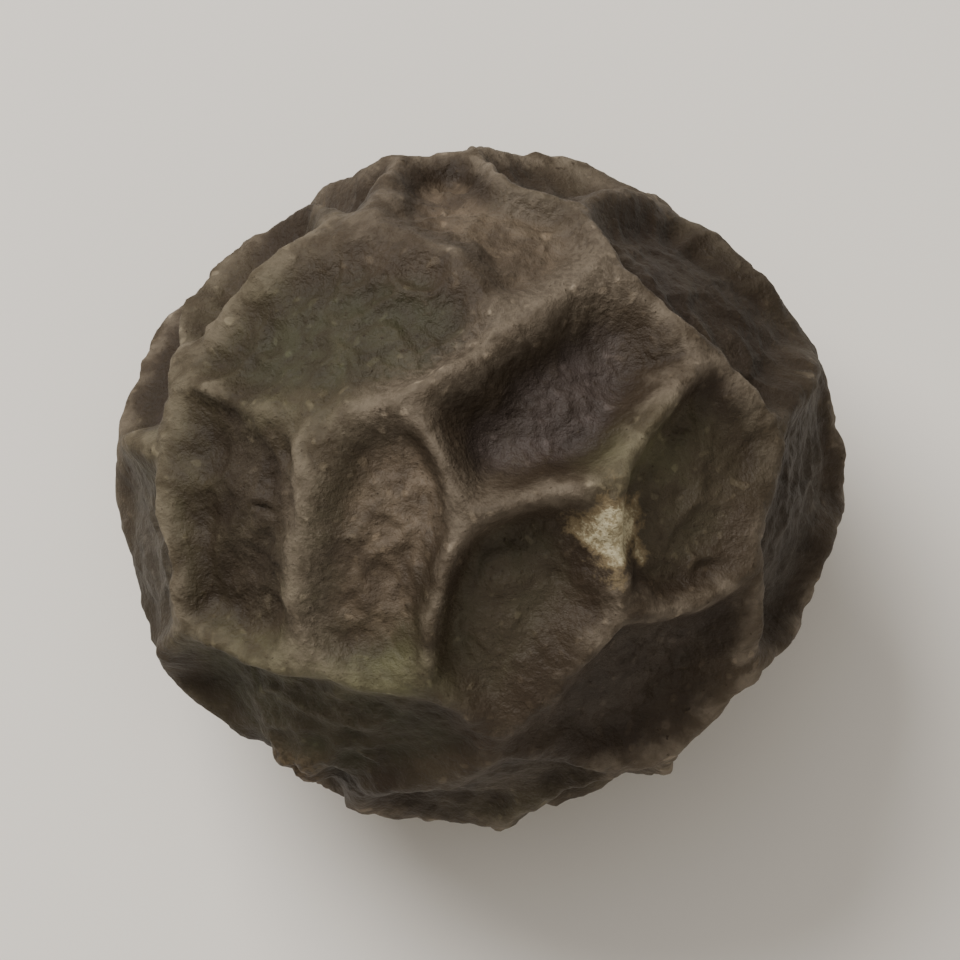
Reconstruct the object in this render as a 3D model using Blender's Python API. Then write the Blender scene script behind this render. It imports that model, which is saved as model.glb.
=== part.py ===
"""A black peppercorn: one dried fruit, whose skin has shrunk on the seed into a raised net of ridges.

Metres, +Z up. The origin is on the small flat spot that it rests on, in the middle of its outline.
"""

import math
import random

import bmesh
import bpy
import numpy as np

# The seed under the skin: half its width (X), depth (Y) and height (Z).
HALF_WIDTH = 0.00246
HALF_DEPTH = 0.00235
HALF_HEIGHT = 0.00229
UNEVENNESS = 0.010  # how far the seed strays from that, as a share of its radius
UNEVEN_PITCH = 1.5  # in radii, as every pitch here
UNEVEN_SEED = 21

# The net: how far its crests stand over the seed, how far the skin sinks between them, and the
# distance from a crest over which a ridge falls away.
CREST_HEIGHT = 0.00015
SKIN_DEPTH = 0.00013
RIDGE_WIDTH = 0.00014
RIDGE_WIDTH_CHANGE = 0.2
RIDGE_WIDTH_PITCH = 0.6
RIDGE_WIDTH_SEED = 41
RIDGE_STEEPNESS = 1.6  # 1 is a crest like a blade on wide flanks, 2 is a round hump
LEAN = 0.00008  # how far a crest leans over to one side
LEAN_PITCH = 1.3
LEAN_SEED = 51
# A ridge's bends: pitch, reach in radii, seed.
WANDER = ((0.95, 0.030, 11), (0.38, 0.010, 14), (0.17, 0.003, 17))
# How strong the net is: on average, how it changes over the skin (pitch, amount, seed), least and most.
NET_STRENGTH = 0.87
NET_CHANGES = ((1.0, 0.25, 31), (0.3, 0.10, 34))
NET_RANGE = (0.35, 1.25)

# The cells of the net, and for those that no view fixes: places tried for each, the least and the
# most of half its middle line in radii, and of its depth as a multiple of SKIN_DEPTH.
CELL_COUNT = 46
CHOICES = 40
CELL_SEED = 7
HALF_LINES = (0.02, 0.16)
CELL_DEPTHS = (0.6, 1.5)

# Cells on the upper side, as seen by someone who looks down on it from VIEW_TILT off the vertical:
# the two ends of each cell's middle line, across and up, as shares of half the width and depth, and
# how deep it is.
VIEW_TILT = math.radians(8)
SEEN_CELLS = (
    ((-0.60, 0.41), (-0.12, 0.51), 0.7),
    ((0.06, 0.19), (0.37, 0.35), 1.9),
    ((-0.69, 0.12), (-0.69, -0.25), 0.9),
    ((-0.28, 0.03), (-0.32, -0.30), 1.3),
    ((0.05, -0.46), (0.20, -0.26), 1.5),
    ((-0.62, -0.67), (-0.24, -0.75), 1.3),
    ((-0.18, 0.92), (0.09, 0.70), 0.8),
    ((0.54, 0.70), (0.77, 0.44), 1.2),
    ((0.60, 0.15), (0.54, -0.14), 1.0),
    ((0.96, 0.10), (0.90, -0.22), 1.0),
    ((0.32, -0.68), (0.50, -0.45), 1.2),
    ((-0.92, 0.38), (-0.93, 0.28), 1.0),
)
# Where the outline swells and falls in that view: place, height and reach, the reach in radii.
SEEN_SWELLS = (
    (-0.93, -0.33, 0.00014, 0.45),
    (0.92, 0.36, 0.00010, 0.30),
    (0.72, -0.68, -0.00010, 0.45),
    (0.30, 0.94, -0.00008, 0.30),
    (-0.68, 0.72, -0.00006, 0.30),
)

# The flat spot, and the area round it where the net is pressed nearly flat.
FOOT_CUT = 0.00011
PRESSED = 0.00095
PRESSED_RELIEF = 0.1

# The round scar of the stalk, and the stub left of the flower at the other end: (turn from +X, rise
# from the horizontal) in degrees, then sizes.
SCAR_PLACE = (62, -14)
SCAR_RADIUS = 0.00036
SCAR_LOBES = ((2, 0.10, 1), (5, 0.06, 0))  # number, share of the radius, turn of the first
SCAR_RIM_WIDTH = 0.00009
SCAR_RIM_HEIGHT = 0.00010
SCAR_PIT_SHARE = 0.8  # of the radius
SCAR_PIT_EDGE = 0.0000315
SCAR_DEPTH = 0.00015
SCAR_CENTRE_RADIUS = 0.000126
SCAR_CENTRE_HEIGHT = 0.00008
STUB_PLACE = (238, 10)
STUB_RADIUS = 0.00019
STUB_HEIGHT = 0.00015
STUB_LOBES = 3
STUB_LOBE_SHARE = 0.28
STUB_DIMPLE_RADIUS = 0.0000665
STUB_DIMPLE_DEPTH = 0.6  # as a share of STUB_HEIGHT
BARE = 0.00055  # the net dies away within this distance of either

# The mesh: cuts along each edge of an icosahedron, how near a crest a point is moved onto it, and
# how often its way there is worked out afresh.
CUTS = 21
SNAP = 0.00003
CREST_PASSES = 5

MEAN_RADIUS = (HALF_WIDTH + HALF_DEPTH + HALF_HEIGHT) / 3
SKIN_COLOUR = (0.045, 0.036, 0.025, 1)
SKIN_ROUGHNESS = 0.6


def unit(vectors):
    return vectors / np.linalg.norm(vectors, axis=-1, keepdims=True)


def compass(turn, rise):
    """The direction at this turn from +X and this rise from the horizontal, in degrees."""
    turn, rise = math.radians(turn), math.radians(rise)
    return np.array((math.cos(turn) * math.cos(rise), math.sin(turn) * math.cos(rise), math.sin(rise)))


def seen(across, up):
    """The direction of a place on the upper side, given as the view shows it."""
    near = math.sqrt(max(1 - across * across - up * up, 0))
    tilt, lift = math.sin(VIEW_TILT), math.cos(VIEW_TILT)
    return unit(np.array((across, up * lift - near * tilt, up * tilt + near * lift)))


def waves(places, pitch, seed, count=14):
    """A smooth random field of about -1.5 to 1.5 on these places, with humps a pitch apart."""
    draw = random.Random(seed)
    total = np.zeros(len(places))
    for _ in range(count):
        way = unit(np.array([draw.gauss(0, 1) for _ in range(3)]))
        total += np.sin(places @ way * (math.tau / pitch) + draw.uniform(0, math.tau))
    return total * math.sqrt(1 / count)


def three_waves(places, pitch, seed):
    return np.stack([waves(places, pitch, seed + axis) for axis in range(3)], axis=-1)


def cells():
    """Both ends of each cell's middle line, as directions, and the cell's depth: first the seen cells,
    then others spread evenly at random."""
    starts = [seen(*start) for start, _, _ in SEEN_CELLS]
    ends = [seen(*end) for _, end, _ in SEEN_CELLS]
    depths = [depth for _, _, depth in SEEN_CELLS]
    draw = random.Random(CELL_SEED)
    while len(starts) < CELL_COUNT:
        tries = [unit(np.array([draw.gauss(0, 1) for _ in range(3)])) for _ in range(CHOICES)]
        taken = np.array(starts + ends)
        place = max(tries, key=lambda tried: np.linalg.norm(taken - tried, axis=1).min())
        side = unit(np.cross(place, [draw.gauss(0, 1) for _ in range(3)])) * draw.uniform(*HALF_LINES)
        starts.append(unit(place + side))
        ends.append(unit(place - side))
        depths.append(draw.uniform(*CELL_DEPTHS))
    return np.array(starts), np.array(ends), np.array(depths)


STARTS, ENDS, DEPTHS = cells()


def borders(ways):
    """For each direction: its distance to its cell's border with each other cell, in radii, the cell,
    and the way across to the nearest border."""
    along = ENDS - STARTS
    share = ((ways[:, None] - STARTS) * along).sum(-1) / (along * along).sum(-1)
    middle = unit(STARTS + np.clip(share, 0, 1)[..., None] * along)
    away = ((ways[:, None] - middle) ** 2).sum(-1)
    rows = np.arange(len(ways))
    own = away.argmin(1)
    across = middle - middle[rows, own][:, None]
    gap = np.linalg.norm(across, axis=-1)
    gap[rows, own] = 1
    reach = (away - away[rows, own][:, None]) / (2 * gap)
    reach[rows, own] = np.inf
    nearest = reach.argmin(1)
    return reach, own, across[rows, nearest] / gap[rows, nearest][:, None]


def wandered(ways):
    """The directions moved a little, so that borders drawn there come out as bent ridges."""
    moved = ways
    for pitch, reach, seed in WANDER:
        moved = moved + reach * three_waves(ways, pitch, seed)
    return unit(moved)


def around(ways, place):
    """The distance of each direction from a place on the skin, and its turn round it."""
    centre = compass(*place)
    side = unit(np.cross(centre, (0, 0, 1)))
    turn = np.arctan2(ways @ np.cross(centre, side), ways @ side)
    return MEAN_RADIUS * np.arccos(np.clip(ways @ centre, -1, 1)), turn


def relief(ways):
    """How strong the net is in each direction, from 0 to about 1.2."""
    strength = NET_STRENGTH + sum(change * waves(ways, pitch, seed) for pitch, change, seed in NET_CHANGES)
    strength = np.clip(strength, *NET_RANGE)
    down = MEAN_RADIUS * np.arccos(np.clip(-ways[:, 2], -1, 1))
    strength *= 1 - (1 - PRESSED_RELIEF) * np.exp(-((down / PRESSED) ** 4))
    for place in (SCAR_PLACE, STUB_PLACE):
        strength *= 1 - np.exp(-((around(ways, place)[0] / BARE) ** 4))
    return strength


def ends_of_the_fruit(ways):
    """What the scar and the stub add to the radius."""
    away, turn = around(ways, SCAR_PLACE)
    edge = SCAR_RADIUS * (1 + sum(share * np.cos(lobes * turn + first) for lobes, share, first in SCAR_LOBES))
    rim = np.exp(-(((away - edge) / SCAR_RIM_WIDTH) ** 2))
    pit = 1 / (1 + np.exp((away - edge * SCAR_PIT_SHARE) / SCAR_PIT_EDGE))
    centre = np.exp(-((away / SCAR_CENTRE_RADIUS) ** 2))
    added = SCAR_RIM_HEIGHT * rim - SCAR_DEPTH * pit + SCAR_CENTRE_HEIGHT * centre
    away, turn = around(ways, STUB_PLACE)
    edge = STUB_RADIUS * (1 + STUB_LOBE_SHARE * np.cos(STUB_LOBES * turn))
    dimple = 1 - STUB_DIMPLE_DEPTH * np.exp(-((away / STUB_DIMPLE_RADIUS) ** 2))
    return added + STUB_HEIGHT * np.exp(-((away / edge) ** 4)) * dimple


def seed_radius(ways):
    """How far the seed's surface is from its heart in each direction."""
    half = np.array((HALF_WIDTH, HALF_DEPTH, HALF_HEIGHT))
    radius = 1 / np.linalg.norm(ways / half, axis=1)
    radius *= 1 + UNEVENNESS * waves(ways, UNEVEN_PITCH, UNEVEN_SEED)
    for across, up, height, reach in SEEN_SWELLS:
        radius += height * np.exp(-(((ways - seen(across, up)) ** 2).sum(1)) / reach**2)
    return radius


def skin(ways):
    """The points of the skin in these directions from the heart of the fruit."""
    reach, own, _ = borders(wandered(ways))
    width = RIDGE_WIDTH * (1 + RIDGE_WIDTH_CHANGE * waves(ways, RIDGE_WIDTH_PITCH, RIDGE_WIDTH_SEED))
    away = (reach * MEAN_RADIUS / width[:, None]) ** RIDGE_STEEPNESS
    floor = np.prod(1 - np.exp(-away), axis=1)
    ridge = 1 - floor
    strength = relief(ways)
    radius = seed_radius(ways) + ends_of_the_fruit(ways)
    radius += strength * (CREST_HEIGHT * ridge - SKIN_DEPTH * DEPTHS[own] * floor)
    lean = three_waves(ways, LEAN_PITCH, LEAN_SEED)
    lean -= (lean * ways).sum(1)[:, None] * ways
    return radius[:, None] * ways + (LEAN * strength * ridge)[:, None] * lean


def onto_crests(ways):
    """The directions, each moved to the nearest crest of the net."""
    for _ in range(CREST_PASSES):
        reach, _, across = borders(wandered(ways))
        ways = unit(ways + reach.min(1)[:, None] * across)
    return ways


def directions(verts):
    return unit(np.array([vert.co for vert in verts]))


def add_crest_edges(mesh):
    """Gives a mesh of a ball a point wherever it crosses a crest of the net, and edges along the crests."""
    mesh.verts.index_update()
    reach, own, _ = borders(wandered(directions(mesh.verts)))
    close = reach.min(1) * MEAN_RADIUS < SNAP
    crest = [vert for vert in mesh.verts if close[vert.index]]
    for edge in mesh.edges[:]:
        start, end = (vert.index for vert in edge.verts)
        if own[start] == own[end] or close[start] or close[end]:
            continue
        before, after = reach[start, own[end]], reach[end, own[start]]
        _, added = bmesh.utils.edge_split(edge, edge.verts[0], before / (before + after))
        crest.append(added)
    for vert, way in zip(crest, onto_crests(directions(crest))):
        vert.co = way
    bmesh.ops.connect_verts(mesh, verts=crest)


def skin_material():
    material = bpy.data.materials.new("skin")
    material.use_nodes = True
    surface = material.node_tree.nodes["Principled BSDF"].inputs
    surface["Base Color"].default_value = SKIN_COLOUR
    surface["Roughness"].default_value = SKIN_ROUGHNESS
    material.diffuse_color = SKIN_COLOUR
    return material


def cut_flat_spot(mesh, height):
    """Cuts the mesh off below this height, and closes it with a flat face."""
    cut = bmesh.ops.bisect_plane(
        mesh,
        geom=mesh.verts[:] + mesh.edges[:] + mesh.faces[:],
        dist=1e-8,
        plane_co=(0, 0, height),
        plane_no=(0, 0, -1),
        clear_outer=True,
    )
    rim = [piece for piece in cut["geom_cut"] if isinstance(piece, bmesh.types.BMEdge)]
    bmesh.ops.holes_fill(mesh, edges=rim)


def make_peppercorn():
    bpy.ops.mesh.primitive_ico_sphere_add(subdivisions=1, radius=1)
    fruit = bpy.context.object
    fruit.name = "peppercorn"
    mesh = bmesh.new()
    mesh.from_mesh(fruit.data)
    bmesh.ops.subdivide_edges(mesh, edges=mesh.edges[:], cuts=CUTS, use_grid_fill=True)
    add_crest_edges(mesh)
    bmesh.ops.triangulate(mesh, faces=mesh.faces[:])
    for vert, point in zip(mesh.verts, skin(directions(mesh.verts))):
        vert.co = point
    foot = FOOT_CUT - HALF_HEIGHT
    cut_flat_spot(mesh, foot)
    bmesh.ops.triangulate(mesh, faces=mesh.faces[:])
    points = np.array([vert.co for vert in mesh.verts])
    middle = (points.min(0) + points.max(0)) / 2
    bmesh.ops.translate(mesh, verts=mesh.verts[:], vec=(-middle[0], -middle[1], -foot))
    bmesh.ops.recalc_face_normals(mesh, faces=mesh.faces[:])
    mesh.to_mesh(fruit.data)
    mesh.free()
    fruit.data.shade_smooth()
    fruit.data.materials.append(skin_material())
    return fruit


def main():
    for old in list(bpy.data.objects):
        bpy.data.objects.remove(old)
    fruit = make_peppercorn()
    collection = bpy.data.collections.new("black_peppercorn")
    bpy.context.scene.collection.children.link(collection)
    for place in list(fruit.users_collection):
        place.objects.unlink(fruit)
    collection.objects.link(fruit)


main()
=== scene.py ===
"""The looks of one black peppercorn: its dried skin as a fine mesh, in place of the plain solid, with its
colours and grain, on a pale floor in soft light.

Metres, +Z up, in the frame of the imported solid. The skin follows the same formula as the solid, with the
wrinkles, pits and grain that are too fine for the solid added to it.
"""

import math
import random

import bpy
import numpy as np
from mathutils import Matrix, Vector, noise


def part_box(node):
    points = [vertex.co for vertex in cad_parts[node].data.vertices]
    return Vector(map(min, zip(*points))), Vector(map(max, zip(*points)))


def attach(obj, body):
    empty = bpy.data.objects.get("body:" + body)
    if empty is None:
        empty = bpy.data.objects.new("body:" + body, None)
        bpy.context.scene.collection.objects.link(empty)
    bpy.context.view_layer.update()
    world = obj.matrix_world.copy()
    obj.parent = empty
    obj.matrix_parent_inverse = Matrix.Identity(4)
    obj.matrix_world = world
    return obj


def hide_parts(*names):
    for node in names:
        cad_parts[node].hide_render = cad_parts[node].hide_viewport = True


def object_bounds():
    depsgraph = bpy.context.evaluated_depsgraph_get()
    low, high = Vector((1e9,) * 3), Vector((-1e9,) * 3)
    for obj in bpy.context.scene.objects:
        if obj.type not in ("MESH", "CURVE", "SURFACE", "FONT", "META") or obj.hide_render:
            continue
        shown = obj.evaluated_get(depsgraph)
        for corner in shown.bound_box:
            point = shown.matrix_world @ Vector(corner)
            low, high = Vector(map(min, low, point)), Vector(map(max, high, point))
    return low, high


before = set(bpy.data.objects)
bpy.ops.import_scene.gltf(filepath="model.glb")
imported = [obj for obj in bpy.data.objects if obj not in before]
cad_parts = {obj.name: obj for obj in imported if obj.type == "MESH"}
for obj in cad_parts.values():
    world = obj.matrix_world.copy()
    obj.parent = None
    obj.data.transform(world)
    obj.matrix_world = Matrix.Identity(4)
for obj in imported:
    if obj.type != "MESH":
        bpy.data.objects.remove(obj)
cad_low, cad_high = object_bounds()

# The seed under the skin: half its width (X), depth (Y) and height (Z).
HALF_WIDTH = 0.00246
HALF_DEPTH = 0.00235
HALF_HEIGHT = 0.00229
UNEVENNESS = 0.010
UNEVEN_PITCH = 1.5
UNEVEN_SEED = 21
MEAN_RADIUS = (HALF_WIDTH + HALF_DEPTH + HALF_HEIGHT) / 3

# The main net of ridges, as in the solid. Pitches and reaches are in radii.
CREST_HEIGHT = 0.00015
SKIN_DEPTH = 0.00013
RIDGE_WIDTH = 0.00014
RIDGE_WIDTH_CHANGE = 0.2
RIDGE_WIDTH_PITCH = 0.6
RIDGE_WIDTH_SEED = 41
RIDGE_STEEPNESS = 1.6
LEAN = 0.00008
LEAN_PITCH = 1.3
LEAN_SEED = 51
WANDER = ((0.95, 0.030, 11), (0.38, 0.010, 14), (0.17, 0.003, 17))
NET_STRENGTH = 0.87
NET_CHANGES = ((1.0, 0.25, 31), (0.3, 0.10, 34))
NET_RANGE = (0.35, 1.25)
CELL_COUNT = 46
CHOICES = 40
CELL_SEED = 7
HALF_LINES = (0.02, 0.16)
CELL_DEPTHS = (0.6, 1.5)

# The cells that the photograph shows: the two ends of each one's middle line, across and up, as shares
# of half the width and depth, how deep it is, and how olive, how lilac and how tan its floor is.
VIEW_TILT = math.radians(8)
SEEN_CELLS = (
    ((-0.60, 0.41), (-0.12, 0.51), 0.7, 1.0, 0.1, 0.25),
    ((0.06, 0.19), (0.37, 0.35), 1.9, 0.1, 1.0, 0.0),
    ((-0.69, 0.12), (-0.69, -0.25), 0.9, 0.0, 0.1, 0.0),
    ((-0.28, 0.03), (-0.32, -0.30), 1.3, 0.0, 0.0, 1.0),
    ((0.05, -0.46), (0.20, -0.26), 1.5, 0.7, 0.0, 0.7),
    ((-0.62, -0.67), (-0.24, -0.75), 1.3, 0.9, 0.0, 0.1),
    ((-0.18, 0.92), (0.09, 0.70), 0.8, 0.0, 0.0, 1.0),
    # This cell's floor gets little tint, so that it stays dark: painted shade on the upper right.
    ((0.54, 0.70), (0.77, 0.44), 1.2, 0.0, 0.2, 0.0),
    ((0.60, 0.15), (0.54, -0.14), 1.0, 0.7, 0.0, 0.8),
    ((0.96, 0.10), (0.90, -0.22), 1.0, 0.4, 0.4, 0.0),
    ((0.32, -0.68), (0.50, -0.45), 1.2, 0.2, 0.3, 0.2),
    ((-0.92, 0.38), (-0.93, 0.28), 1.0, 0.0, 0.6, 0.2),
)
# Patches on the upper side, as seen from above: both ends of the middle line of each patch, its reach in
# radii and its strength. The first table paints yellow-green highlights, glints along the crests; the
# second gives pale skin; the third paints shade.
# Painted highlights: yellow-green glints laid as colour along the crests.
SEEN_GLINTS = (
    ((-0.76, -0.50), (-0.24, -0.53), 0.12, 1.0),
    ((0.36, 0.03), (0.50, 0.10), 0.13, 1.0),
    ((-0.42, 0.42), (-0.30, 0.46), 0.22, 0.5),
)
SEEN_PALE = (
    ((-0.26, 0.24), (0.24, 0.57), 0.09, 0.8),
    ((0.12, 0.84), (0.36, 0.60), 0.09, 0.7),
    ((-0.50, -0.02), (-0.48, -0.45), 0.09, 0.5),
    ((-0.05, 0.02), (0.02, -0.10), 0.10, 0.4),
)
# Painted shade: dark patches where the skin lies in shade, along the upper right and the right edge.
SEEN_SHADE = (
    ((0.50, 0.82), (0.88, 0.50), 0.16, 0.8),
    ((0.00, 0.72), (0.08, 0.69), 0.09, 0.3),
    ((0.78, 0.50), (0.86, 0.05), 0.13, 1.0),
)
SEEN_SWELLS = (
    (-0.93, -0.33, 0.00014, 0.45),
    (0.92, 0.36, 0.00010, 0.30),
    (0.72, -0.68, -0.00010, 0.45),
    (0.30, 0.94, -0.00008, 0.30),
    (-0.68, 0.72, -0.00006, 0.30),
)

# The flat spot, the stalk's scar and the flower's stub, as in the solid.
FOOT_CUT = 0.00011
PRESSED = 0.00095
PRESSED_RELIEF = 0.1
SCAR_PLACE = (62, -14)
SCAR_RADIUS = 0.00036
SCAR_LOBES = ((2, 0.10, 1), (5, 0.06, 0))
SCAR_RIM_WIDTH = 0.00009
SCAR_RIM_HEIGHT = 0.00010
SCAR_PIT_SHARE = 0.8
SCAR_PIT_EDGE = 0.0000315
SCAR_DEPTH = 0.00015
SCAR_CENTRE_RADIUS = 0.000126
SCAR_CENTRE_HEIGHT = 0.00008
STUB_PLACE = (238, 10)
STUB_RADIUS = 0.00019
STUB_HEIGHT = 0.00015
STUB_LOBES = 3
STUB_LOBE_SHARE = 0.28
STUB_DIMPLE_RADIUS = 0.0000665
STUB_DIMPLE_DEPTH = 0.6
BARE = 0.00055

# What is too fine for the solid. The crests are rounded, and rise and fall along their length.
CREST_ROUNDING = 0.000018
CREST_PITCH = 0.28
CREST_CHANGE = 0.45
CREST_SEED = 61
# A second net of low wrinkles, which fade out here and there.
WRINKLE_COUNT = 300
WRINKLE_CHOICES = 10
WRINKLE_SEED = 71
WRINKLE_HALF_LINES = (0.01, 0.08)
WRINKLE_WANDER = ((0.30, 0.016, 74), (0.12, 0.005, 77), (0.05, 0.0015, 80))
WRINKLE_HEIGHT = 0.000060
WRINKLE_WIDTH = 0.000055
WRINKLE_STRENGTH = 0.40
WRINKLE_PITCH = 0.55
WRINKLE_CHANGE = 1.3
WRINKLE_LEVEL = 0.3  # the share of a wrinkle's height that lies under the skin round it
# How much of the wrinkles and of the creases is lost on a crest.
WRINKLE_LOSS = 0.6
CREASE_LOSS = 0.2
# Pleats down the flanks of the ridges: pitch, height and seed.
PLEATS = (0.17, 0.000022, 85)
# How uneven the scar and the stub are: pitch, share or height, and seed.
SCAR_UNEVENNESS = (0.11, 0.22, 88)
SCAR_GRAIN = (0.030, 0.000020, 89)
# Creases, dents and grain: pitch, height and seed.
CREASES = (0.150, 0.000028, 91)
DENTS = (0.420, 0.000040, 92)
GRAIN = (0.050, 0.000013, 93)
# A pale cream spot on a crest, set in a shallow dent.
PALE_SPOT_PLACE = (0.375, -0.12)
PALE_SPOT_RADIUS = 0.00028
PALE_SPOT_UNEVENNESS = (0.09, 0.50, 95)
PALE_SPOT_DEPTH = 0.000022

# The colours of the cells that no view fixes, and of the skin where it turns yellow-green.
TINT_SEED = 8
MOSSY_ELSEWHERE = (0.9, 0.45, 101)

CUTS = 98  # along each edge of the icosahedron that the skin starts from
ON_THE_CUT = 1e-8  # how near the cut of the flat spot a point counts as on it
ROWS_AT_ONCE = 6000
WAVE_COUNT = 14
NOISE_REACH = 100
RUGGED = (0.9, 2.1, 4)  # how fast the small humps fade, how much smaller each size is, how many sizes
CREASED = (1.0, 2.2, 3, 1.0, 2.0)  # the same, then the level that folds rise from, and their sharpness
FOLD_RANGE = 0.00007  # the height of the fine relief from its lowest to its highest
FOLD_MIDDLE = 0.5  # the mark of skin that is neither folded up nor down


def unit(vectors):
    return vectors / np.linalg.norm(vectors, axis=-1, keepdims=True)


def compass(turn, rise):
    """The direction at this turn from +X and this rise from the horizontal, in degrees."""
    turn, rise = math.radians(turn), math.radians(rise)
    return np.array((math.cos(turn) * math.cos(rise), math.sin(turn) * math.cos(rise), math.sin(rise)))


def seen(across, up):
    """The direction of a place on the upper side, given as the photograph shows it."""
    near = math.sqrt(max(1 - across * across - up * up, 0))
    tilt, lift = math.sin(VIEW_TILT), math.cos(VIEW_TILT)
    return unit(np.array((across, up * lift - near * tilt, up * tilt + near * lift)))


def any_way(draw):
    """A direction drawn at random."""
    return unit(np.array([draw.gauss(0, 1) for _ in range(3)]))


def waves(places, pitch, seed):
    """A smooth random field of about -1.5 to 1.5 on these places, with humps a pitch apart."""
    draw = random.Random(seed)
    total = np.zeros(len(places))
    for _ in range(WAVE_COUNT):
        way = any_way(draw)
        total += np.sin(places @ way * (math.tau / pitch) + draw.uniform(0, math.tau))
    return total * math.sqrt(1 / WAVE_COUNT)


def three_waves(places, pitch, seed):
    return np.stack([waves(places, pitch, seed + axis) for axis in range(3)], axis=-1)


def started(places, pitch, seed):
    """These places in units of the pitch, moved to a stretch of noise that the seed picks."""
    draw = random.Random(seed)
    start = Vector([draw.uniform(-NOISE_REACH, NOISE_REACH) for _ in range(3)])
    return [Vector(place) / pitch + start for place in places.tolist()]


def rugged(places, pitch, seed):
    """A broken random field of about -1 to 1, with humps of many sizes up to a pitch across."""
    return np.array([noise.fractal(place, *RUGGED) for place in started(places, pitch, seed)])


def creased(places, pitch, seed):
    """A random field of about -1 to 0.7, with sharp folds up to a pitch apart."""
    moved = started(places, pitch, seed)
    return np.array([noise.ridged_multi_fractal(place, *CREASED) for place in moved]) - 1


def field_of(kind, field, ways):
    """A field of one of these kinds, given as its pitch, its height and its seed."""
    pitch, height, seed = field
    return height * kind(ways, pitch, seed)


class Net:
    """Cells on a ball, each round a middle line. Ridges run along the borders between them."""

    def __init__(self, starts, ends, depths):
        self.starts = list(starts)
        self.ends = list(ends)
        self.depths = list(depths)

    def spread(self, count, choices, seed, half_lines, depths):
        """Adds cells evenly at random, up to this count."""
        draw = random.Random(seed)
        while len(self.starts) < count:
            tries = [any_way(draw) for _ in range(choices)]
            taken = np.array(self.starts + self.ends)
            place = max(tries, key=lambda tried: np.linalg.norm(taken - tried, axis=1).min())
            side = unit(np.cross(place, [draw.gauss(0, 1) for _ in range(3)])) * draw.uniform(*half_lines)
            self.starts.append(unit(place + side))
            self.ends.append(unit(place - side))
            self.depths.append(draw.uniform(*depths))

    def borders(self, ways):
        """For each direction: its distance to its cell's border with each other cell, in radii, the cell,
        and the way across to the nearest border."""
        starts, ends = np.array(self.starts), np.array(self.ends)
        along = ends - starts
        share = ((ways[:, None] - starts) * along).sum(-1) / (along * along).sum(-1)
        middle = unit(starts + np.clip(share, 0, 1)[..., None] * along)
        away = ((ways[:, None] - middle) ** 2).sum(-1)
        rows = np.arange(len(ways))
        own = away.argmin(1)
        across = middle - middle[rows, own][:, None]
        gap = np.linalg.norm(across, axis=-1)
        gap[rows, own] = 1
        reach = (away - away[rows, own][:, None]) / (2 * gap)
        reach[rows, own] = np.inf
        nearest = reach.argmin(1)
        return reach, own, across[rows, nearest] / gap[rows, nearest][:, None]


def wandered(ways, bends):
    """The directions moved a little, so that borders drawn there come out as bent ridges."""
    moved = ways
    for pitch, reach, seed in bends:
        moved = moved + reach * three_waves(ways, pitch, seed)
    return unit(moved)


def around(ways, place):
    """The distance of each direction from a place on the skin, and its turn round it."""
    centre = compass(*place)
    side = unit(np.cross(centre, (0, 0, 1)))
    turn = np.arctan2(ways @ np.cross(centre, side), ways @ side)
    return MEAN_RADIUS * np.arccos(np.clip(ways @ centre, -1, 1)), turn


def pressed(ways):
    """1 at the middle of the flat spot, falling to 0 round it."""
    down = MEAN_RADIUS * np.arccos(np.clip(-ways[:, 2], -1, 1))
    return np.exp(-((down / PRESSED) ** 4))


def bare(ways):
    """1 at the stalk's scar and at the flower's stub, falling to 0 round them."""
    return sum(np.exp(-((around(ways, place)[0] / BARE) ** 4)) for place in (SCAR_PLACE, STUB_PLACE))


def relief(ways):
    """How strong the main net is in each direction."""
    changes = sum(field_of(waves, change, ways) for change in NET_CHANGES)
    strength = np.clip(NET_STRENGTH + changes, *NET_RANGE)
    return strength * (1 - (1 - PRESSED_RELIEF) * pressed(ways)) * (1 - bare(ways))


def scar(ways):
    """What the stalk's scar adds to the radius, and how much a place belongs to it."""
    away, turn = around(ways, SCAR_PLACE)
    away *= 1 + field_of(rugged, SCAR_UNEVENNESS, ways)
    bulge = sum(share * np.cos(lobes * turn + first) for lobes, share, first in SCAR_LOBES)
    edge = SCAR_RADIUS * (1 + bulge)
    rim = np.exp(-(((away - edge) / SCAR_RIM_WIDTH) ** 2))
    pit = 1 / (1 + np.exp((away - edge * SCAR_PIT_SHARE) / SCAR_PIT_EDGE))
    centre = np.exp(-((away / SCAR_CENTRE_RADIUS) ** 2))
    added = SCAR_RIM_HEIGHT * rim - SCAR_DEPTH * pit + SCAR_CENTRE_HEIGHT * centre
    return added, np.clip(rim + pit, 0, 1)


def stub(ways):
    """What the flower's stub adds to the radius, and how much a place belongs to it."""
    away, turn = around(ways, STUB_PLACE)
    away *= 1 + field_of(rugged, SCAR_UNEVENNESS, ways)
    edge = STUB_RADIUS * (1 + STUB_LOBE_SHARE * np.cos(STUB_LOBES * turn))
    dimple = 1 - STUB_DIMPLE_DEPTH * np.exp(-((away / STUB_DIMPLE_RADIUS) ** 2))
    mark = np.exp(-((away / edge) ** 4))
    return STUB_HEIGHT * mark * dimple, mark


def seed_radius(ways):
    """How far the seed's surface is from its heart in each direction."""
    half = np.array((HALF_WIDTH, HALF_DEPTH, HALF_HEIGHT))
    radius = 1 / np.linalg.norm(ways / half, axis=1)
    radius *= 1 + UNEVENNESS * waves(ways, UNEVEN_PITCH, UNEVEN_SEED)
    for across, up, height, reach in SEEN_SWELLS:
        radius += height * np.exp(-(((ways - seen(across, up)) ** 2).sum(1)) / reach**2)
    return radius


def pale_spot(ways):
    """How much a place belongs to the pale spot."""
    away = MEAN_RADIUS * np.linalg.norm(ways - seen(*PALE_SPOT_PLACE), axis=1)
    edge = PALE_SPOT_RADIUS * (1 + field_of(rugged, PALE_SPOT_UNEVENNESS, ways))
    return np.exp(-((away / edge) ** 4))


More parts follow.
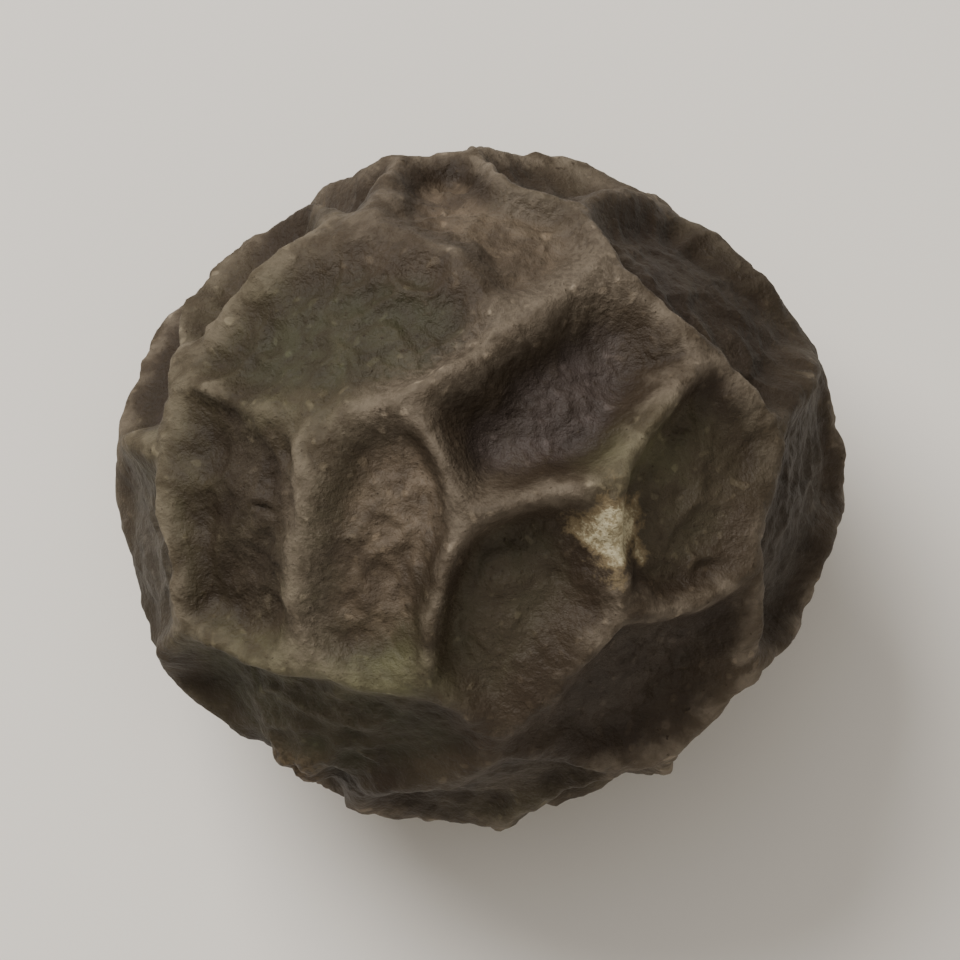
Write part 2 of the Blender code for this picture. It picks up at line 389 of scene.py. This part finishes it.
def main_net():
    net = Net(
        [seen(*cell[0]) for cell in SEEN_CELLS],
        [seen(*cell[1]) for cell in SEEN_CELLS],
        [cell[2] for cell in SEEN_CELLS],
    )
    net.spread(CELL_COUNT, CHOICES, CELL_SEED, HALF_LINES, CELL_DEPTHS)
    return net


def wrinkle_net(net):
    """Many small cells, spread evenly between those of the main net."""
    fine = Net(net.starts, net.ends, net.depths)
    fine.spread(WRINKLE_COUNT, WRINKLE_CHOICES, WRINKLE_SEED, WRINKLE_HALF_LINES, CELL_DEPTHS)
    return fine


def floor_tints(count):
    """How olive, how lilac and how tan each cell's floor is: first the seen cells, then a random draw."""
    draw = random.Random(TINT_SEED)
    tints = [cell[3:] for cell in SEEN_CELLS]
    while len(tints) < count:
        tints.append([draw.random() ** 2 for _ in range(3)])
    return np.array(tints)


def patches(ways, seen_patches):
    """How much each direction belongs to these patches."""
    total = np.zeros(len(ways))
    for start, end, reach, strength in seen_patches:
        start, end = seen(*start), seen(*end)
        share = (ways - start) @ (end - start) / ((end - start) @ (end - start))
        middle = start + np.clip(share, 0, 1)[:, None] * (end - start)
        total += strength * np.exp(-((ways - middle) ** 2).sum(1) / reach**2)
    return np.clip(total, 0, 1)


def glints_and_green(ways):
    """How yellow-green the skin is in each direction: painted yellow-green highlights in the seen patches,
    over the skin's own yellow-green tone, which comes and goes at random.
    """
    return np.clip(patches(ways, SEEN_GLINTS) + field_of(rugged, MOSSY_ELSEWHERE, ways), 0, 1)


def rounded(distance):
    """The distance from a crest, with the crest's sharp edge rounded off."""
    return np.sqrt(distance**2 + CREST_ROUNDING**2) - CREST_ROUNDING


def fine_relief(ways, fine, ridge, across):
    """The height of the wrinkles, pleats, creases and dents in each direction."""
    reach = fine.borders(wandered(ways, WRINKLE_WANDER))[0].min(1) * MEAN_RADIUS
    folding = WRINKLE_STRENGTH + WRINKLE_CHANGE * rugged(ways, WRINKLE_PITCH, WRINKLE_SEED)
    folding = np.clip(folding, 0, 1) * (1 - WRINKLE_LOSS * ridge)
    wrinkle = np.exp(-(rounded(reach) / WRINKLE_WIDTH)) - WRINKLE_LEVEL
    height = WRINKLE_HEIGHT * folding * wrinkle
    flank = 4 * ridge * (1 - ridge)
    on_the_line = ways - across * (ways * across).sum(1)[:, None]
    height += flank * field_of(rugged, PLEATS, on_the_line)
    height += (1 - CREASE_LOSS * ridge) * field_of(creased, CREASES, ways)
    return height + field_of(rugged, DENTS, ways)


def skin(ways, net, fine, tints):
    """The points of the skin in these directions from the heart of the fruit, and the marks that its
    colours follow."""
    reach, own, across = net.borders(wandered(ways, WANDER))
    width = RIDGE_WIDTH * (1 + RIDGE_WIDTH_CHANGE * waves(ways, RIDGE_WIDTH_PITCH, RIDGE_WIDTH_SEED))
    away = (rounded(reach * MEAN_RADIUS) / width[:, None]) ** RIDGE_STEEPNESS
    floor = np.prod(1 - np.exp(-away), axis=1)
    ridge = 1 - floor
    strength = relief(ways)
    scar_height, scar_mark = scar(ways)
    stub_height, stub_mark = stub(ways)
    radius = seed_radius(ways) + scar_height + stub_height
    crest_height = CREST_HEIGHT * (1 + CREST_CHANGE * rugged(ways, CREST_PITCH, CREST_SEED))
    radius += strength * (crest_height * ridge - SKIN_DEPTH * np.array(net.depths)[own] * floor)

    scarred = np.clip(scar_mark + stub_mark, 0, 1)
    fine_height = fine_relief(ways, fine, ridge, across) * (1 - scarred) * (1 - pressed(ways))
    fine_height += field_of(rugged, GRAIN, ways) + scarred * field_of(rugged, SCAR_GRAIN, ways)
    in_pale_spot = pale_spot(ways)
    radius += fine_height - PALE_SPOT_DEPTH * in_pale_spot

    lean = three_waves(ways, LEAN_PITCH, LEAN_SEED)
    lean -= (lean * ways).sum(1)[:, None] * ways
    points = radius[:, None] * ways + (LEAN * strength * ridge)[:, None] * lean
    marks = {
        "crest": ridge * np.clip(strength, 0, 1),
        # How high the fine relief stands; the colours follow it, paler on the small folds as wear and
        # darker in their hollows as painted shade.
        "fold": np.clip(FOLD_MIDDLE + fine_height / FOLD_RANGE, 0, 1),
        "olive": tints[own, 0] * floor,
        "lilac": tints[own, 1] * floor,
        "tan": tints[own, 2] * floor,
        "glints_and_green": glints_and_green(ways),
        "pale": patches(ways, SEEN_PALE),
        "painted_shade": patches(ways, SEEN_SHADE),
        "scar": scarred,
        "pale_spot": in_pale_spot,
    }
    return points, marks


def ball_of_triangles():
    """An icosahedron with its edges and faces cut evenly into small ones."""
    bpy.ops.object.select_all(action="DESELECT")
    bpy.ops.mesh.primitive_ico_sphere_add(subdivisions=1, radius=MEAN_RADIUS)
    ball = bpy.context.object
    bpy.ops.object.mode_set(mode="EDIT")
    bpy.ops.mesh.select_all(action="SELECT")
    bpy.ops.mesh.subdivide(number_cuts=CUTS)
    bpy.ops.object.mode_set(mode="OBJECT")
    return ball


def cut_flat_spot(height):
    """Cuts the active object off below this height, and closes it with a flat face."""
    bpy.ops.object.mode_set(mode="EDIT")
    bpy.ops.mesh.select_all(action="SELECT")
    bpy.ops.mesh.bisect(
        plane_co=(0, 0, height), plane_no=(0, 0, -1), use_fill=True, clear_outer=True, threshold=ON_THE_CUT
    )
    bpy.ops.mesh.select_all(action="SELECT")
    bpy.ops.mesh.quads_convert_to_tris()
    bpy.ops.object.mode_set(mode="OBJECT")


def box_of(mesh):
    points = np.empty(len(mesh.vertices) * 3)
    mesh.vertices.foreach_get("co", points)
    points = points.reshape(-1, 3)
    return points.min(0), points.max(0)


def make_peppercorn():
    """The dried fruit, in the place of the solid."""
    fruit = ball_of_triangles()
    fruit.name = "wrinkled_peppercorn"
    mesh = fruit.data
    places = np.empty(len(mesh.vertices) * 3)
    mesh.vertices.foreach_get("co", places)
    ways = unit(places.reshape(-1, 3))
    net = main_net()
    fine = wrinkle_net(net)
    tints = floor_tints(CELL_COUNT)
    starts = range(0, len(ways), ROWS_AT_ONCE)
    parts = [skin(ways[row : row + ROWS_AT_ONCE], net, fine, tints) for row in starts]
    mesh.vertices.foreach_set("co", np.concatenate([points for points, _ in parts]).ravel())
    for name in parts[0][1]:
        mark = mesh.attributes.new(name, "FLOAT", "POINT")
        mark.data.foreach_set("value", np.concatenate([marks[name] for _, marks in parts]))
    foot = FOOT_CUT - HALF_HEIGHT
    cut_flat_spot(foot)
    low, high = box_of(mesh)
    solid_low, solid_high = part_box("peppercorn")
    shift = (solid_low + solid_high) / 2 - Vector((low + high) / 2)
    bpy.ops.object.mode_set(mode="EDIT")
    bpy.ops.mesh.select_all(action="SELECT")
    bpy.ops.transform.translate(value=(shift.x, shift.y, solid_low.z - foot))
    bpy.ops.object.mode_set(mode="OBJECT")
    bpy.ops.object.shade_smooth()
    return fruit


class Nodes:
    """Adds and links the nodes of one material."""

    def __init__(self, name):
        self.material = bpy.data.materials.new(name)
        self.material.use_nodes = True
        self.tree = self.material.node_tree
        self.surface = self.tree.nodes["Principled BSDF"]

    def add(self, kind, output=0, inputs=None, **settings):
        """Adds a node, with values or other nodes' outputs for its inputs, and returns one output."""
        node = self.tree.nodes.new(kind)
        for name, value in settings.items():
            setattr(node, name, value)
        for socket, value in (inputs or {}).items():
            self.connect(node.inputs[socket], value)
        return node.outputs[output]

    def connect(self, socket, value):
        if isinstance(value, bpy.types.NodeSocket):
            self.tree.links.new(value, socket)
        else:
            socket.default_value = value

    def mark(self, name):
        return self.add("ShaderNodeAttribute", "Fac", attribute_name=name)

    def place(self):
        return self.add("ShaderNodeTexCoord", "Object")

    def noise(self, pitch, detail=3, roughness=0.55, warp=0):
        """Noise with humps about this far apart, in metres, from 0 to 1."""
        inputs = {"Vector": self.place(), "Scale": 1 / pitch, "Detail": detail, "Roughness": roughness}
        inputs["Distortion"] = warp
        return self.add("ShaderNodeTexNoise", "Fac", inputs)

    def creases(self, pitch, detail=3, roughness=0.5):
        """Fine folds up to this far apart, in metres, from 0 between them to about 1 on their crests."""
        inputs = {"Vector": self.place(), "Scale": 1 / pitch, "Detail": detail, "Roughness": roughness}
        settings = {"noise_type": "RIDGED_MULTIFRACTAL", "normalize": True}
        return self.add("ShaderNodeTexNoise", "Fac", inputs, **settings)

    def sum(self, first, second, share):
        """first + second * share."""
        return self.add("ShaderNodeMath", 0, {0: second, 1: share, 2: first}, operation="MULTIPLY_ADD")

    def product(self, first, second):
        """first * second."""
        return self.add("ShaderNodeMath", 0, {0: first, 1: second}, operation="MULTIPLY")

    def between(self, value, low, high):
        """0 where the value is low or less, 1 where it is high or more, smooth between."""
        inputs = {"Value": value, "From Min": low, "From Max": high}
        return self.add("ShaderNodeMapRange", 0, inputs, interpolation_type="SMOOTHSTEP")

    def scaled(self, value, to_low, to_high):
        """The value from 0 to 1 brought to this range."""
        return self.add("ShaderNodeMapRange", 0, {"Value": value, "To Min": to_low, "To Max": to_high})

    def mixed(self, share, first, second):
        """The second colour over the first, by this share."""
        node = self.tree.nodes.new("ShaderNodeMix")
        node.data_type = "RGBA"
        self.connect(node.inputs["Factor"], share)
        self.connect(node.inputs["A"], first)
        self.connect(node.inputs["B"], second)
        return node.outputs["Result"]

    def bump(self, height, distance, under=None):
        """A normal that follows this pattern, raised by this distance, over the one under it."""
        inputs = {"Height": height, "Distance": distance}
        if under:
            inputs["Normal"] = under
        return self.add("ShaderNodeBump", 0, inputs)


# The skin's colours.
FLOOR_DARK = (0.014, 0.008, 0.004, 1)
FLOOR_LIGHT = (0.043, 0.030, 0.018, 1)
FLOOR_OLIVE = (0.045, 0.047, 0.024, 1)
FLOOR_LILAC = (0.090, 0.070, 0.063, 1)
FLOOR_TAN = (0.210, 0.158, 0.108, 1)
FLANK_DARK = (0.034, 0.023, 0.014, 1)
FLANK_LIGHT = (0.067, 0.048, 0.030, 1)
CREST_DARK = (0.098, 0.074, 0.048, 1)
CREST_LIGHT = (0.245, 0.200, 0.148, 1)
# Pale yellow-green: painted glints on the crests, and the skin's own yellow-green tone.
GLINT_AND_GREEN = (0.225, 0.225, 0.110, 1)
BLOOM = (0.150, 0.127, 0.096, 1)
SCAR_DARK = (0.050, 0.031, 0.017, 1)
SCAR_LIGHT = (0.135, 0.095, 0.056, 1)
PALE_SPOT_CREAM = (0.400, 0.355, 0.235, 1)
PALE_SPOT_DARKER_CREAM = (0.230, 0.190, 0.110, 1)
PALE_SPOT_TAN = (0.150, 0.112, 0.062, 1)

# The patterns that the colours and the grain follow: how far apart the humps of each are, in metres.
CLOUD_PITCH = 0.0009
BLOTCH_PITCH = 0.00022
SPECKLE_PITCH = 0.00005
DUST_PITCH = 0.000018
CRINKLE_PITCH = 0.00010
# How high each of them stands, in metres, as grain.
BLOTCH_GRAIN = 0.000018
CRINKLE_GRAIN = 0.000009
SPECKLE_GRAIN = 0.000020
DUST_GRAIN = 0.000005
# How much of the patterns and of the fine relief is added to the height of the crests.
BLOTCH_ON_CREST = 0.4
# The fine relief makes the skin paler on the small folds, as wear, and darker in their hollows, as painted
# shade.
FOLD_ON_CREST = 0.3
SPECKLE_ON_CREST = 0.4
# From where to where on a pattern a colour comes in, and the least and the most of it that shows.
FLOOR_CLOUDS = (0.35, 0.68)
PATCH_BLOTCHES = (0.30, 0.70)
PATCH_SHARES = (0.35, 1.0)
FLANK_CLOUDS = (0.35, 0.65)
CREST_BLOTCHES = (0.35, 0.65)
BLOOM_CLOUDS = (0.45, 0.70)
BLOOM_DUST = (0.40, 0.60)
BLOOM_SHARE = 0.30
GLINT_AND_GREEN_SHARES = (0.15, 0.65)
PALE_SPECKLES = (0.40, 0.60)
PALE_SHARES = (0.45, 1.0)
# How strongly the painted shade patches darken the skin.
PAINTED_SHADE_SHARE = 0.7
# Where the hollows between the fine creases are darkened, and how much: painted shade.
CRINKLE_DEPTHS = (0.45, 0.20)
CREASE_SHADE_SHARES = (0.0, 0.45)
PIT_SPECKLES = (0.62, 0.78)
SCAR_SPECKLES = (0.40, 0.60)
SCAR_SHARE = 0.75
# The same on the height of the crests.
FLANK_HEIGHTS = (0.55, 0.95)
WORN_HEIGHTS = (1.00, 1.68)
GLINT_AND_GREEN_HEIGHTS = (0.45, 1.2)
PALE_HEIGHTS = (0.40, 1.0)
# How ragged the pale spot's edge is, and where its tan rim and its cream middle begin.
PALE_SPOT_SPECKLE = 0.7
PALE_SPOT_DUST = 0.4
CREAM_DUST = 0.5
CREAM_RANGE = (0.60, 0.85)
PALE_SPOT_RIM = (0.65, 1.05)
PALE_SPOT_MIDDLE = (1.00, 1.45)
# The skin is duller where it is worn, and unevenly so.
DULLNESS = (0.58, 0.74)
DULLNESS_CHANGE = 0.24
SPECKLE_MIDDLE = 0.5
SHINE = 0.20


def skin_material():
    """Dry skin: near black on the floors of the cells, worn to grey-brown and tan along the crests."""
    nodes = Nodes("dried_skin")
    cloud = nodes.noise(CLOUD_PITCH, detail=5)
    blotch = nodes.noise(BLOTCH_PITCH, detail=4, warp=0.4)
    speckle = nodes.noise(SPECKLE_PITCH, detail=3, roughness=0.6)
    dust = nodes.noise(DUST_PITCH, detail=2)
    crinkle = nodes.creases(CRINKLE_PITCH)

    floor = nodes.mixed(nodes.between(cloud, *FLOOR_CLOUDS), FLOOR_DARK, FLOOR_LIGHT)
    patchy = nodes.scaled(nodes.between(blotch, *PATCH_BLOTCHES), *PATCH_SHARES)
    for mark, tint in (("tan", FLOOR_TAN), ("olive", FLOOR_OLIVE), ("lilac", FLOOR_LILAC)):
        floor = nodes.mixed(nodes.product(nodes.mark(mark), patchy), floor, tint)

    height = nodes.sum(nodes.mark("crest"), blotch, BLOTCH_ON_CREST)
    # Partly wear, partly painted shade: paler on the small folds, darker in their hollows.
    height = nodes.sum(height, nodes.mark("fold"), FOLD_ON_CREST)
    height = nodes.sum(height, speckle, SPECKLE_ON_CREST)
    flank = nodes.mixed(nodes.between(cloud, *FLANK_CLOUDS), FLANK_DARK, FLANK_LIGHT)
    colour = nodes.mixed(nodes.between(height, *FLANK_HEIGHTS), floor, flank)
    worn = nodes.between(height, *WORN_HEIGHTS)
    crest = nodes.mixed(nodes.between(blotch, *CREST_BLOTCHES), CREST_DARK, CREST_LIGHT)
    colour = nodes.mixed(worn, colour, crest)

    bloom = nodes.product(nodes.between(cloud, *BLOOM_CLOUDS), nodes.between(dust, *BLOOM_DUST))
    colour = nodes.mixed(nodes.product(bloom, BLOOM_SHARE), colour, BLOOM)
    # Painted highlight: yellow-green glints on the crests in the seen patches, over the skin's own
    # yellow-green tone elsewhere.
    glint_and_green = nodes.scaled(nodes.between(height, *GLINT_AND_GREEN_HEIGHTS), *GLINT_AND_GREEN_SHARES)
    glint_and_green = nodes.product(nodes.mark("glints_and_green"), glint_and_green)
    colour = nodes.mixed(nodes.product(glint_and_green, patchy), colour, GLINT_AND_GREEN)
    pale = nodes.product(nodes.mark("pale"), nodes.between(height, *PALE_HEIGHTS))
    pale = nodes.product(pale, nodes.scaled(nodes.between(speckle, *PALE_SPECKLES), *PALE_SHARES))
    colour = nodes.mixed(pale, colour, CREST_LIGHT)

    # Painted shade: the floor's darkest colour laid over the skin in the shade patches.
    colour = nodes.mixed(nodes.product(nodes.mark("painted_shade"), PAINTED_SHADE_SHARE), colour, FLOOR_DARK)
    # Painted shade: darker in the hollows between the fine creases.
    painted_crease_shade = nodes.scaled(nodes.between(crinkle, *CRINKLE_DEPTHS), *CREASE_SHADE_SHARES)
    colour = nodes.mixed(painted_crease_shade, colour, FLOOR_DARK)
    colour = nodes.mixed(nodes.between(speckle, *PIT_SPECKLES), colour, FLOOR_DARK)
    scar_colour = nodes.mixed(nodes.between(speckle, *SCAR_SPECKLES), SCAR_DARK, SCAR_LIGHT)
    colour = nodes.mixed(nodes.product(nodes.mark("scar"), SCAR_SHARE), colour, scar_colour)

    pale_spot_edge = nodes.sum(nodes.mark("pale_spot"), speckle, PALE_SPOT_SPECKLE)
    pale_spot_edge = nodes.sum(pale_spot_edge, dust, PALE_SPOT_DUST)
    cream = nodes.between(nodes.sum(speckle, dust, CREAM_DUST), *CREAM_RANGE)
    cream = nodes.mixed(cream, PALE_SPOT_DARKER_CREAM, PALE_SPOT_CREAM)
    colour = nodes.mixed(nodes.between(pale_spot_edge, *PALE_SPOT_RIM), colour, PALE_SPOT_TAN)
    colour = nodes.mixed(nodes.between(pale_spot_edge, *PALE_SPOT_MIDDLE), colour, cream)
    nodes.connect(nodes.surface.inputs["Base Color"], colour)

    unevenly = nodes.sum(-SPECKLE_MIDDLE, speckle, 1)
    rough = nodes.sum(nodes.scaled(worn, *DULLNESS), unevenly, DULLNESS_CHANGE)
    nodes.connect(nodes.surface.inputs["Roughness"], rough)
    nodes.surface.inputs["Specular IOR Level"].default_value = SHINE
    normal = nodes.bump(blotch, BLOTCH_GRAIN)
    normal = nodes.bump(crinkle, CRINKLE_GRAIN, normal)
    normal = nodes.bump(speckle, SPECKLE_GRAIN, normal)
    normal = nodes.bump(dust, DUST_GRAIN, normal)
    nodes.connect(nodes.surface.inputs["Normal"], normal)
    return nodes.material


# The pale floor under the peppercorn.
STAGE_SIZE = 2.0
STAGE_COLOUR = (0.84, 0.80, 0.74, 1)
STAGE_ROUGHNESS = 0.7


def floor_material():
    nodes = Nodes("pale_floor")
    nodes.surface.inputs["Base Color"].default_value = STAGE_COLOUR
    nodes.surface.inputs["Roughness"].default_value = STAGE_ROUGHNESS
    return nodes.material


def lay_floor():
    bpy.ops.object.select_all(action="DESELECT")
    bpy.ops.mesh.primitive_plane_add(size=STAGE_SIZE, location=(0, 0, cad_low.z))
    floor = bpy.context.object
    floor.name = "floor"
    floor.data.materials.append(floor_material())


# Lights: turn from +X and rise in degrees, distance and size in metres, power in watts, colour.
LIGHTS = {
    "key": ((130, 50), 0.060, 0.034, 0.044, (1.0, 0.98, 0.95)),
    "fill": ((-62, 16), 0.070, 0.040, 0.010, (1.0, 0.94, 0.86)),
    "top": ((100, 84), 0.070, 0.050, 0.010, (1.0, 0.98, 0.96)),
}
SKY_COLOUR = (1.0, 0.94, 0.84, 1)
SKY_STRENGTH = 0.30


def light_up(target):
    for name, (place, distance, size, power, colour) in LIGHTS.items():
        lamp = bpy.data.lights.new(name, "AREA")
        lamp.shape = "DISK"
        lamp.size = size
        lamp.energy = power
        lamp.color = colour
        light = bpy.data.objects.new(name, lamp)
        way = Vector(compass(*place))
        light.location = target + way * distance
        light.rotation_euler = way.to_track_quat("Z", "Y").to_euler()
        bpy.context.scene.collection.objects.link(light)
    world = bpy.data.worlds.new("studio")
    world.use_nodes = True
    sky = world.node_tree.nodes["Background"]
    sky.inputs["Color"].default_value = SKY_COLOUR
    sky.inputs["Strength"].default_value = SKY_STRENGTH
    bpy.context.scene.world = world


# The camera looks down from the front, as the photograph does: its turn from +X and its rise, in degrees.
VIEW_PLACE = (-90, 90 - math.degrees(VIEW_TILT))
LENS = 180
FRAME_SHARE = 0.76  # the peppercorn's width as a share of the picture's
CLIP_SHARE = 10  # how many times nearer and farther than the peppercorn the camera sees


def place_camera(target):
    lens = bpy.data.cameras.new("camera")
    lens.lens = LENS
    camera = bpy.data.objects.new("camera", lens)
    width = (cad_high.x - cad_low.x) / FRAME_SHARE
    distance = width / lens.sensor_width * LENS
    back = Vector(compass(*VIEW_PLACE))
    camera.location = target + back * distance
    camera.rotation_euler = back.to_track_quat("Z", "Y").to_euler()
    lens.clip_start = distance / CLIP_SHARE
    lens.clip_end = distance * CLIP_SHARE
    bpy.context.scene.collection.objects.link(camera)
    bpy.context.scene.camera = camera


def main():
    heart = (cad_low + cad_high) / 2
    place_camera(heart)
    light_up(heart)
    lay_floor()
    fruit = make_peppercorn()
    fruit.data.materials.append(skin_material())
    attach(fruit, "root")
    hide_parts("peppercorn")


main()
